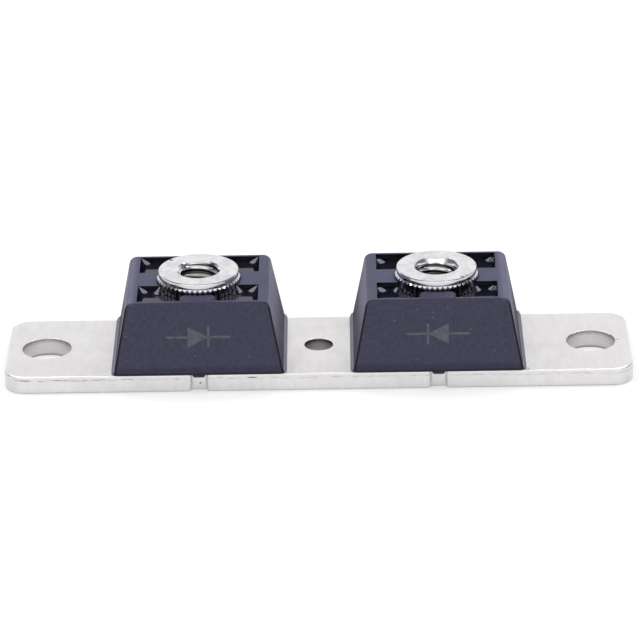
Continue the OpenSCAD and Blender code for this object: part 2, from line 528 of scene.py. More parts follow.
class Coat(Graph):
    """The graph of a material in the making, with its colour, roughness and bump height so far."""

    colour: Socket
    rough: Socket
    grain: Socket
    height: Socket

    def __init__(self, name: str) -> None:
        """Start a new material.

        Args:
            name: The material's name.
        """
        self.material = bpy.data.materials.new(name)
        self.material.use_nodes = True
        super().__init__(self.material.node_tree)
        self.place = self.node("ShaderNodeTexCoord").outputs["Object"]

    def effect(self, effect: Effect, vector: Socket, scale: float, amount: float = 1.0) -> Socket:
        """Place one of the shared effects, with its own scale and strength."""
        values = {"Vector": vector, "Scale": scale, "Amount": amount}
        return self.node("ShaderNodeGroup", values, node_tree=effect.group()).outputs["Mask"]

    def paint(self, mask: Socket, colour: object) -> None:
        """Lay a colour over what is there, where a mask says so."""
        self.colour = self.blend(mask, self.colour, colour)

    def roughen(self, mask: Socket, step: float) -> None:
        """Change the roughness by a step, where a mask says so."""
        self.rough = self.scaled(mask, step, self.rough)


@dataclass(frozen=True)
class Finish:
    """A surface finish: a colour, a second colour in its smudges, its gloss, and a fine grain."""

    name: str
    colour: Colour
    patch_colour: Colour
    metallic: float
    roughness: float
    grain_scale: float
    grain_depth: float
    rough_spread: float = 0.08
    smudge_scale: float = 120.0
    speck_colour: Colour = (0.5, 0.5, 0.5)
    speck_amount: float = 0.0
    speck_scale: float = 900.0
    ior: float = 1.5
    stretch: Triple = (1.0, 1.0, 1.0)
    mottle_colour: Colour = (0.5, 0.5, 0.5)
    mottle_amount: float = 0.0
    mottle_cover: Span = (0.36, 0.64)
    mirror_tint: Colour = WHITE

    def make(self) -> bpy.types.Material:
        """Build the material.

        Returns:
            The new material.
        """
        coat = Coat(self.name)
        drawn = coat.stretched(coat.place, self.stretch)
        coat.grain = coat.height = coat.effect(Effect.GRAIN, drawn, self.grain_scale)
        smudge = coat.effect(Effect.SMUDGE, coat.place, self.smudge_scale)
        coat.colour = coat.blend(smudge, self.colour, self.patch_colour)
        if self.mottle_amount:
            coat.paint(coat.ramp(coat.grain, *self.mottle_cover, 0.0, self.mottle_amount), self.mottle_colour)
        if self.speck_amount:
            specks = coat.effect(Effect.SPECK, coat.place, self.speck_scale, self.speck_amount)
            coat.paint(specks, self.speck_colour)
        gloss = coat.scaled(coat.grain, self.rough_spread, coat.times(smudge, self.rough_spread))
        coat.rough = coat.math("ADD", gloss, self.roughness - self.rough_spread / 2)
        self.details(coat)
        bump = coat.node("ShaderNodeBump",
                         {"Strength": 1.0, "Distance": self.grain_depth, "Height": coat.height})
        values = {"Base Color": coat.colour, "Roughness": coat.rough, "Metallic": self.metallic,
                  "IOR": self.ior, "Specular Tint": self.mirror_tint, "Normal": bump.outputs[0]}
        shader = coat.node("ShaderNodeBsdfPrincipled", values)
        coat.node("ShaderNodeOutputMaterial", {"Surface": shader.outputs[0]})
        return coat.material

    def details(self, coat: Coat) -> None:
        """Add what only this finish has; a plain finish adds nothing."""


@dataclass(frozen=True)
class Mark:
    """A small dark mark or patch of painted shade: its middle and its half sizes in millimetres, and how dark
    it is.
    """

    middle: Triple
    half: Triple
    depth: float

    def mask(self, coat: Coat) -> Socket:
        """Mask of the mark, with a soft edge.

        Args:
            coat: The material in the making.

        Returns:
            The mask.
        """
        off = coat.place
        for operation, vector in (("SUBTRACT", self.middle), ("DIVIDE", self.half)):
            values = {0: off, 1: Vector(vector) * MM}
            off = coat.node("ShaderNodeVectorMath", values, operation=operation).outputs[0]
        away = coat.node("ShaderNodeVectorMath", {0: off}, operation="LENGTH").outputs["Value"]
        return coat.fall(away, 0.5, 1.0, self.depth)


@dataclass(frozen=True)
class ShearedNickel(Finish):
    """Satin nickel on a punched plate: its sides show the line where the punch stopped cutting."""

    shear_z: float = 2.08 * MM
    wander: float = 0.4 * MM
    wander_scale: float = 170.0
    line: float = 0.24 * MM
    line_top_z: float = 2.56 * MM
    line_sink: float = -2.0
    dash_stretch: Triple = (1.0, 1.0, 9.0)
    dash_scale: float = 600.0
    dash_cover: Span = (0.46, 0.62)
    dash_x: Span = (-34 * MM, -20 * MM)
    dash_shares: Span = (0.7, 0.3)
    torn_foot_z: Span = (0.02 * MM, 0.12 * MM)
    # Colour of the shear line and the marks, and of the painted shade in the notches
    tear_and_shade_colour: Colour = (0.16, 0.15, 0.15)
    torn_dullness: float = 0.08
    torn_sink: float = -1.0
    top_z: float = 2.68 * MM
    # Painted shade on the hole walls: where it lightens below the top edge and above the foot, and its colours
    # in the mounting holes and the centre hole
    hole_shade_top_z: Span = (1.8 * MM, 2.58 * MM)
    hole_shade_foot_z: Span = (0.1 * MM, 0.45 * MM)
    hole_shade_colours: tuple[Colour, Colour] = ((0.45, 0.43, 0.43), (0.82, 0.79, 0.79))
    centre_hole_shade_colours: tuple[Colour, Colour] = ((0.17, 0.16, 0.155), (0.54, 0.51, 0.50))
    mount_x: float = 40.005 * MM
    mount_radius: float = 3.7 * MM
    centre_radius: float = 2.2 * MM

    MARKS_AND_NOTCH_SHADE = (
        Mark((-9.7, -10.3, 2.17), (1.1, 0.5, 0.13), 0.9),
        Mark((-17.2, -9.7, 1.12), (0.24, 0.4, 0.24), 0.95),
        Mark((30.3, -9.7, 2.7), (0.5, 0.7, 0.2), 0.3),
        Mark((44.0, 0.3, 2.7), (0.4, 0.25, 0.2), 0.5),
        # Painted shade: dark lines down the side walls of both notches
        *(Mark((x, -9.9, 1.4), (0.14, 0.6, 1.9), 0.45) for x in (-18.4, -16.35, 16.35, 18.4)),
    )

    def details(self, coat: Coat) -> None:
        """Draw the broken shear line, roughen the torn zone below it, paint shade into the holes and set the
        marks, with painted shade in the notches.

        Args:
            coat: The material in the making.
        """
        x, y, z = coat.parts(coat.place)
        along = coat.node("ShaderNodeCombineXYZ", {0: x, 1: y}).outputs[0]
        wave = coat.minus(coat.noise(along, self.wander_scale, detail=3.0), 0.5)
        over_line = coat.minus(z, coat.scaled(wave, self.wander, self.shear_z))
        torn = coat.times(coat.fall(over_line, -self.line, self.line), coat.ramp(z, *self.torn_foot_z))
        flat = coat.stretched(coat.place, self.dash_stretch)
        dashes = coat.times(coat.ramp(coat.noise(flat, self.dash_scale, detail=2.0), *self.dash_cover),
                            coat.ramp(x, *self.dash_x, *self.dash_shares))
        near_line = coat.fall(coat.size(over_line), 0.0, self.line)
        line = coat.times(near_line, dashes, coat.below(z, self.line_top_z))
        coat.paint(line, self.tear_and_shade_colour)
        self._paint_hole_shade(coat, x, y, z)
        # Marks, and painted shade on the notches' side walls
        for mark in self.MARKS_AND_NOTCH_SHADE:
            coat.paint(mark.mask(coat), self.tear_and_shade_colour)
        coat.roughen(torn, self.torn_dullness)
        coat.height = coat.scaled(torn, self.torn_sink, coat.scaled(line, self.line_sink, coat.grain))

    def _paint_hole_shade(self, coat: Coat, x: Socket, y: Socket, z: Socket) -> None:
        """Paint shade on the walls of the holes: darkest under the top edge and at the foot, and darker in the
        centre hole than in the mounting holes.

        Args:
            coat: The material in the making.
            x: Place along the plate.
            y: Place across it.
            z: Height.
        """
        # Painted shade: the hole walls darken, most under the top edge and at the foot
        under = coat.below(z, self.top_z)
        down = coat.times(coat.fall(z, *self.hole_shade_top_z), coat.ramp(z, *self.hole_shade_foot_z))
        from_mount = coat.minus(coat.size(x), self.mount_x)
        for across, radius, walls in ((from_mount, self.mount_radius, self.hole_shade_colours),
                                      (x, self.centre_radius, self.centre_hole_shade_colours)):
            inside = coat.times(coat.below(coat.radius(across, y), radius), under)
            coat.paint(inside, coat.blend(down, *walls))


@dataclass(frozen=True)
class WettedPlastic(Finish):
    """Moulded plastic with painted light on its top, end walls and flange ends, painted shade in its seams, at
    its foot and on the inner walls, which are glossy as if wetted by the epoxy.
    """

    end_foot: float = 12.25 * MM
    end_slope: float = 0.189
    end_edge: Span = (0.05 * MM, 0.2 * MM)
    end_z: Span = (4.5 * MM, 12.0 * MM)
    end_dullness: float = 0.18
    # Painted light high on the end walls and painted shade low on them; the shade colour also darkens the tabs
    # and the foot strip
    upper_light_colour: Colour = (0.17, 0.166, 0.26)
    low_shade_colour: Colour = (0.014, 0.013, 0.045)
    face_foot: float = 10.3 * MM
    face_slope: float = 0.176
    face_skin: float = 0.16 * MM
    near_skin: float = 0.3 * MM
    band_z: float = 3.9 * MM
    flange_z: float = 3.17 * MM
    # Painted light on the flange's upward ledge at the ends
    ledge_z: float = 3.47 * MM
    ledge_edge: Span = (-0.1 * MM, 0.0)
    ledge_light_colour: Colour = (0.20, 0.197, 0.25)
    # Painted shade on a strip at the foot of the broad faces
    strip_z: Span = (3.5 * MM, 4.4 * MM)
    strip_shade_share: float = 0.6
    # Painted shade in the parting seams and at the foot
    crease_shade_colour: Colour = (0.003, 0.003, 0.006)
    crease_shade_share: float = 0.97
    seam_inset: float = 0.13 * MM
    seam_edge: Span = (0.114 * MM, 0.19 * MM)
    seam_top_z: Span = (12.4 * MM, 12.9 * MM)
    foot_z: float = 2.66 * MM
    # Painted shadow along the foot of the broad faces, where they meet the plate
    foot_shadow_z: Span = (3.0 * MM, 3.15 * MM)
    rim_z: float = 13.5 * MM
    # Painted light: the top faces are lighter and bluer
    top_light_colour: Colour = (0.047, 0.046, 0.104)
    top_light_share: float = 0.6
    # Painted shade on the tops of the side arms before and behind the terminal
    tab_half: float = 2.6 * MM
    tab_y: float = 5.9 * MM
    tab_shade_share: float = 0.85
    # Painted highlight on the rounded outer top corners of the end walls
    end_rim_highlight_colour: Colour = (0.085, 0.083, 0.15)
    end_rim_highlight_x: Span = (8.8 * MM, 9.8 * MM)
    end_rim_highlight_z: Span = (12.9 * MM, 13.3 * MM)
    print_y: float = -8.0 * MM
    print_z: float = 8.4 * MM
    print_half: float = 1.5 * MM
    print_lead: float = 4.6 * MM
    print_line: float = 0.17 * MM
    print_grain: Span = (0.3, 0.6)
    print_shares: Span = (0.35, 0.9)
    print_colour: Colour = (0.12, 0.12, 0.142)
    inside: Span = (9.2 * MM, 8.25 * MM)
    # Painted shade on the pockets' inner walls, which are also glossy as if wetted
    pocket_shade_colour: Colour = (0.006, 0.006, 0.008)
    wet_roughness: float = 0.15

    def details(self, coat: Coat) -> None:
        """Paint light on the top and light and shade on the outside, print the symbol, and paint shade on the
        inner walls and polish them.

        Args:
            coat: The material in the making.
        """
        x, y, z = coat.parts(coat.place)
        outward = coat.minus(coat.size(x), TOWER_X)
        from_axis = coat.size(outward)
        high = coat.above(z, self.rim_z)
        # Painted light on the top faces
        coat.paint(coat.times(high, self.top_light_share), self.top_light_colour)
        # Painted shade on the tops of the side arms before and behind the terminal
        tab_shade = coat.times(coat.below(from_axis, self.tab_half), coat.above(coat.size(y), self.tab_y))
        coat.paint(coat.times(tab_shade, high, self.tab_shade_share), self.low_shade_colour)
        # Painted highlight on the rounded outer top corners of the end walls
        coat.paint(coat.times(coat.ramp(outward, *self.end_rim_highlight_x), coat.ramp(z, *self.end_rim_highlight_z)), self.end_rim_highlight_colour)
        self._shade_outside(coat, from_axis, y, z)
        ink = coat.ramp(coat.grain, *self.print_grain, *self.print_shares)
        on_front = coat.below(y, self.print_y)
        coat.paint(coat.times(self._symbol(coat, outward, z), on_front, ink), self.print_colour)
        # Painted shade on the pockets' inner walls, which are also made glossy as if wetted by the epoxy
        wet_and_shaded = coat.times(coat.below(from_axis, self.inside[0]), coat.below(coat.size(y), self.inside[1]),
                         coat.below(z, self.rim_z))
        coat.paint(wet_and_shaded, self.pocket_shade_colour)
        coat.roughen(wet_and_shaded, self.wet_roughness - self.roughness)
        coat.height = coat.times(coat.grain, coat.minus(1.0, wet_and_shaded))

    def _symbol(self, coat: Coat, outward: Socket, z: Socket) -> Socket:
        """Mask of a plain diode symbol, which is printed on the front face of each tower.

        Args:
            coat: The material in the making.
            outward: Distance from the tower's axis along X, away from the module's middle.
            z: Height.

        Returns:
            The mask.
        """
        half, line = self.print_half, self.print_line
        across, along = coat.size(coat.minus(z, self.print_z)), coat.size(outward)
        from_bar = coat.math("ADD", outward, half)
        lead = coat.times(coat.below(across, line), coat.below(along, self.print_lead))
        bar = coat.times(coat.below(coat.size(from_bar), line), coat.below(across, half))
        wedge = coat.times(coat.below(across, coat.times(from_bar, 0.5)), coat.below(along, half))
        return coat.math("MAXIMUM", lead, coat.math("MAXIMUM", bar, wedge))

    def _shade_outside(self, coat: Coat, from_axis: Socket, y: Socket, z: Socket) -> None:
        """Paint light and shade on what shows outside: end walls, flange ends, seams and the foot of the broad
        faces.

        Args:
            coat: The material in the making.
            from_axis: Distance from the tower's axis along X.
            y: Place across the plate.
            z: Height.
        """
        end_half = coat.scaled(coat.minus(z, self.flange_z), -self.end_slope, self.end_foot)
        inward = coat.minus(end_half, from_axis)
        lean = coat.times(coat.math("MAXIMUM", coat.minus(z, self.band_z), 0.0), self.face_slope)
        depth = coat.minus(coat.minus(self.face_foot, lean), coat.size(y))
        on_face, near_face = coat.below(depth, self.face_skin), coat.below(depth, self.near_skin)
        on_end = coat.times(coat.fall(inward, *self.end_edge), coat.minus(1.0, on_face))
        # Painted light and shade: the end walls darken towards the foot and lighten towards the top
        coat.paint(on_end, coat.blend(coat.ramp(z, *self.end_z), self.low_shade_colour, self.upper_light_colour))
        coat.roughen(on_end, self.end_dullness)
        # Painted light on the flange's upward ledge at the ends
        ledge_light = coat.times(coat.below(z, self.ledge_z), coat.fall(inward, *self.ledge_edge))
        coat.paint(ledge_light, self.ledge_light_colour)
        # Painted shade on a strip at the foot of the broad faces
        coat.paint(coat.times(coat.fall(z, *self.strip_z, self.strip_shade_share), on_face), self.low_shade_colour)
        # Painted shadow: a dark line where the broad faces meet the plate
        foot = coat.times(coat.fall(z, *self.foot_shadow_z, self.crease_shade_share), on_face,
                          coat.above(z, self.foot_z))
        coat.paint(foot, self.crease_shade_colour)
        # Painted shade in the parting grooves along the leaning edges
        off_seam = coat.size(coat.minus(inward, self.seam_inset))
        seam = coat.times(coat.fall(off_seam, *self.seam_edge, self.crease_shade_share), near_face,
                          coat.fall(z, *self.seam_top_z))
        coat.paint(seam, self.crease_shade_colour)


@dataclass(frozen=True)
class BoredNickel(Finish):
    """Bright nickel that is worn on top, with thinner, duller plating and painted shade down in the threaded
    hole, and painted shade in the thread's grooves and on the knurl's foot.
    """

    bore_radius: float = 3.2 * MM
    # Thinner plating and painted shade down the hole: where they set in, and their colour
    bore_z: Span = (13.2 * MM, 14.4 * MM)
    bore_plating_and_shade_colour: Colour = (0.50, 0.48, 0.46)
    bore_roughness: float = 0.28
    mouth_gap: float = 0.6 * MM
    # Painted shade in the thread's roots; its colour also darkens the nicks on the top
    groove_radii: Span = (2.72 * MM, 2.95 * MM)
    groove_z: Span = (14.55 * MM, 14.7 * MM)
    groove_shade_and_nick_colour: Colour = (0.07, 0.065, 0.06)
    top_z: float = 14.97 * MM
    worn_scale: float = 700.0
    worn_cover: Span = (0.36, 0.66)
    worn_shares: Span = (0.2, 0.8)
    worn_colour: Colour = (0.62, 0.61, 0.63)
    knurl_radius: float = 5.5 * MM
    # Painted shade on the knurl's foot, where it reaches down into the pockets
    knurl_shade_z: Span = (13.65 * MM, 13.9 * MM)
    knurl_shade_share: float = 0.85
    knurl_shade_colour: Colour = (0.24, 0.235, 0.25)

    NICKS = (
        Mark((-21.45, 3.6, 15.0), (0.42, 0.4, 0.3), 0.8),
        Mark((20.97, -4.1, 15.0), (0.36, 0.32, 0.3), 0.85),
        Mark((21.6, -3.45, 15.0), (0.22, 0.22, 0.2), 0.8),
    )

    def details(self, coat: Coat) -> None:
        """Dull the hole and paint shade into it with its depth, paint shade into the thread's grooves, wear
        the top, paint shade on the knurl's foot.

        Args:
            coat: The material in the making.
        """
        x, y, z = coat.parts(coat.place)
        radius = coat.radius(coat.minus(coat.size(x), TOWER_X), y)
        in_hole = coat.below(radius, self.bore_radius)
        # The right mouth is deeper, so its hole counts as lying higher
        height = coat.scaled(coat.above(x, 0.0), self.mouth_gap, z)
        # Thinner plating and painted shade: the hole darkens and roughens with depth
        deep_dull_and_shade = coat.times(in_hole, coat.fall(height, *self.bore_z))
        coat.paint(deep_dull_and_shade, self.bore_plating_and_shade_colour)
        # Painted shade in the roots of the thread
        groove_shade = coat.times(coat.ramp(radius, *self.groove_radii), in_hole, coat.fall(height, *self.groove_z))
        coat.paint(groove_shade, self.groove_shade_and_nick_colour)
        patches = coat.noise(coat.place, self.worn_scale, detail=5.0, rough=0.65)
        worn = coat.ramp(patches, *self.worn_cover, *self.worn_shares)
        coat.paint(coat.times(coat.above(z, self.top_z), worn), self.worn_colour)
        # Painted shade on the knurl below the housing's rim
        on_knurl = coat.above(radius, self.knurl_radius)
        coat.paint(coat.times(on_knurl, coat.fall(z, *self.knurl_shade_z, self.knurl_shade_share)), self.knurl_shade_colour)
        for nick in self.NICKS:
            coat.paint(nick.mask(coat), self.groove_shade_and_nick_colour)
        coat.roughen(deep_dull_and_shade, self.bore_roughness - self.roughness)


PLATE_NICKEL = ShearedNickel(
    "satin_nickel", (0.97, 0.95, 0.96), (0.92, 0.90, 0.91), metallic=1.0, roughness=0.34,
    grain_scale=5200.0, grain_depth=0.012 * MM, stretch=(1.0, 0.2, 0.5),
    mottle_colour=(0.80, 0.78, 0.79), mottle_amount=0.35)
BRIGHT_NICKEL = BoredNickel(
    "bright_nickel", (0.91, 0.895, 0.93), (0.85, 0.835, 0.87), metallic=1.0, roughness=0.14,
    grain_scale=3600.0, grain_depth=0.004 * MM)
MOULDED_PLASTIC = WettedPlastic(
    "moulded_plastic", (0.028, 0.027, 0.064), (0.032, 0.031, 0.070), metallic=0.0, roughness=0.46,
    grain_scale=6500.0, grain_depth=0.02 * MM, speck_colour=(0.16, 0.16, 0.19), speck_amount=0.6,
    ior=1.46, mottle_colour=(0.055, 0.054, 0.105), mottle_amount=0.6)
POTTING_EPOXY = Finish(
    "glossy_epoxy", (0.005, 0.005, 0.013), (0.007, 0.007, 0.016), metallic=0.0, roughness=0.07,
    grain_scale=900.0, grain_depth=0.002 * MM, rough_spread=0.03, ior=1.48, mirror_tint=(0.82, 0.82, 1.0))
STRAP_COPPER = Finish(
    "drawn_copper", (0.78, 0.42, 0.28), (0.62, 0.31, 0.20), metallic=1.0, roughness=0.32,
    grain_scale=2600.0, grain_depth=0.008 * MM, stretch=(0.08, 1.0, 1.0))
ROLLED_MOLYBDENUM = Finish(
    "rolled_molybdenum", (0.44, 0.44, 0.47), (0.36, 0.36, 0.38), metallic=1.0, roughness=0.42,
    grain_scale=3000.0, grain_depth=0.008 * MM, stretch=(0.06, 1.0, 1.0))
CHIP_SILICON = Finish(
    "lapped_silicon", (0.15, 0.16, 0.19), (0.19, 0.19, 0.21), metallic=0.6, roughness=0.22,
    grain_scale=2000.0, grain_depth=0.002 * MM)
DULL_SOLDER = Finish(
    "dull_solder", (0.62, 0.63, 0.64), (0.50, 0.50, 0.50), metallic=1.0, roughness=0.4,
    grain_scale=1500.0, grain_depth=0.02 * MM)

# The hidden pieces from the plate up, each with its finish
HIDDEN = {
    "base_solder": DULL_SOLDER,
    "lower_buffer": ROLLED_MOLYBDENUM,
    "chip_solder": DULL_SOLDER,
    "chip": CHIP_SILICON,
    "top_solder": DULL_SOLDER,
    "upper_buffer": ROLLED_MOLYBDENUM,
    "strap_solder": DULL_SOLDER,
    "strap": STRAP_COPPER,
}


# The pieces


@dataclass
class BasePlate:
    """The punched and plated copper plate that carries both towers."""

    corner_radius: float = 3.0 * MM
    mount_inset: float = 5.745 * MM
    mount_diameter: float = 7.2 * MM
    centre_diameter: float = 4.2 * MM
    notch_width: float = 2.15 * MM
    notch_depth: float = 0.6 * MM
    notch_mouth: float = 0.45 * MM
    edge_width: float = 0.24 * MM
    hole_edge: float = 0.07 * MM
    hole_steps: int = 96

    def build(self) -> None:
        """Punch the plate out, round its edges, pierce it and dress it."""
        low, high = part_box("base_plate")
        back = self._long_edge(low.x, high.x, high.y)
        outline = [(x, -y) for x, y in back] + back[::-1]
        plate = draw("plate", [Vector((x, y, low.z)) for x, y in outline])
        rounded(plate, Element.VERTEX, lambda vertex: abs(vertex.co.x) > high.x - CLOSE,
                self.corner_radius, segments=14)
        rounded(plate, Element.VERTEX, lambda vertex: self._at_mouth(vertex.co, high.y),
                self.notch_mouth, segments=5)
        draw_out(plate, Vector((0, 0, high.z - low.z)))
        rounded(plate, Element.EDGE, self._is_rim, self.edge_width, segments=3)
        holes = [(x, self.mount_diameter) for x in (low.x + self.mount_inset, high.x - self.mount_inset)]
        for x, diameter in holes + [(0.0, self.centre_diameter)]:
            shape(plate, self._spool(x, diameter / 2, low.z, high.z), Join.CUT)
        smooth(plate, degrees=40)
        hand_over(plate, "base_plate", PLATE_NICKEL.make())

    def _long_edge(self, left: float, right: float, y: float) -> list[Span]:
        """Corners along one long edge, from left to right, with the notch of each tower.

        Args:
            left: Left end of the edge.
            right: Right end.
            y: Distance of the edge from the plate's middle.

        Returns:
            The corners.
        """
        half, inner = self.notch_width / 2, y - self.notch_depth
        corners = [(left, y)]
        for side in Side:
            start, end = side.x - half, side.x + half
            corners += [(start, y), (start, inner), (end, inner), (end, y)]
        return corners + [(right, y)]

    def _spool(self, x: float, radius: float, low_z: float, high_z: float) -> Solid:
        """A turned cutter that flares at both faces, so that the hole gets rounded edges.

        Args:
            x: Place of the hole along the plate.
            radius: Radius of the hole.
            low_z: Height of the plate's bottom face.
            high_z: Height of its top face.

        Returns:
            The cutting shape.
        """
        edge = self.hole_edge
        turns = [math.radians(angle) for angle in (0, 22.5, 45, 67.5, 90)]
        flare = [(radius + edge - edge * math.sin(a), edge - edge * math.cos(a)) for a in turns]
        profile = [(0.0, low_z - OVER), (radius + edge, low_z - OVER)]
        profile += [(r, low_z + drop) for r, drop in flare]
        profile += [(r, high_z - drop) for r, drop in reversed(flare)]
        profile += [(radius + edge, high_z + OVER), (0.0, high_z + OVER)]
        spool = turned("spool", profile, self.hole_steps)
        set_down(spool, x)
        return spool

    def _at_mouth(self, corner: Vector, edge_y: float) -> bool:
        """Is this corner of the outline on a long edge and beside a notch?"""
        beside = abs(abs(abs(corner.x) - TOWER_X) - self.notch_width / 2) < CLOSE
        return beside and abs(abs(corner.y) - edge_y) < CLOSE

    @staticmethod
    def _is_rim(edge: bmesh.types.BMEdge) -> bool:
        """Does this edge part the top or the bottom face from the plate's side?"""
        level = abs(edge.verts[0].co.z - edge.verts[1].co.z) < CLOSE
        return level and edge.calc_face_angle(0.0) > math.radians(45)


@dataclass
class TowerShape:
    """Sizes that the pieces of a tower share, all about the tower's own axis."""

    foot_z: float = 2.7 * MM
    top_z: float = 13.55 * MM
    flange_length: float = 25.5 * MM
    flange_width: float = 20.6 * MM
    foot_wall: float = 1.8 * MM
    opening_top: Span = (8.725 * MM, 8.098 * MM)
    end_arm_width: float = 4.9 * MM
    side_arm_width: float = 5.15 * MM
    arm_height: float = 4.0 * MM
    arm_tip_radius: float = 1.1 * MM
    arm_tip_sink: float = 0.25 * MM
    seat_diameter: float = 12.26 * MM

    def opening_half(self, z: float) -> Span:
        """Half length and half width of the tower's inside at a height.

        Args:
            z: The height.

        Returns:
            Half length along X and half width along Y.
        """
        share = (z - self.foot_z) / (self.top_z - self.foot_z)
        foot = (self.flange_length / 2 - self.foot_wall, self.flange_width / 2 - self.foot_wall)
        return tuple(low + share * (high - low) for low, high in zip(foot, self.opening_top))

    def opening(self, low_z: float, high_z: float) -> Solid:
        """The tapered space inside a tower between two heights.

        Args:
            low_z: Its lower end.
            high_z: Its upper end.

        Returns:
            The space as a solid.
        """
        foot, top = self.opening_half(low_z), self.opening_half(high_z)
        space = draw_out(draw("opening", rectangle(*foot, low_z)), Vector((0, 0, high_z - low_z)))
        with editing(space):
            pick(space, Element.VERTEX, lambda vertex: abs(vertex.co.z - high_z) < CLOSE)
            taper = (top[0] / foot[0], top[1] / foot[1], 1)
            bpy.ops.transform.resize(value=taper, center_override=(0, 0, high_z))
        return space

    def seat(self, low_z: float, high_z: float) -> Solid:
        """The round space in which the terminal's knurl sits, between two heights."""
        return cylinder(self.seat_diameter / 2, low_z, high_z)

    def arms(self) -> Solid:
        """The four arms that hold the terminal, longer than the space that they cross.

        Returns:
            The arms as one solid.
        """
        arm_z, rise = self.top_z - self.arm_height, Vector((0, 0, self.arm_height + OVER))
        arms = draw_out(draw("arms", rectangle(self.flange_length / 2, self.end_arm_width / 2, arm_z)), rise)
        tip, outer = self.seat_diameter / 2 - self.arm_tip_sink, self.flange_width / 2
        half = self.side_arm_width / 2
        for hand in (-1, 1):
            ring = ((-half, tip), (half, tip), (half, outer), (-half, outer))
            arm = draw("side_arm", [Vector((x, hand * y, arm_z)) for x, y in ring])
            rounded(arm, Element.VERTEX, lambda vertex: abs(vertex.co.y) < tip + CLOSE,
                    self.arm_tip_radius, segments=8)
            shape(arms, draw_out(arm, rise), Join.ADD)
        return shape(arms, self.seat(arm_z - OVER, self.top_z + 2 * OVER), Join.CUT)


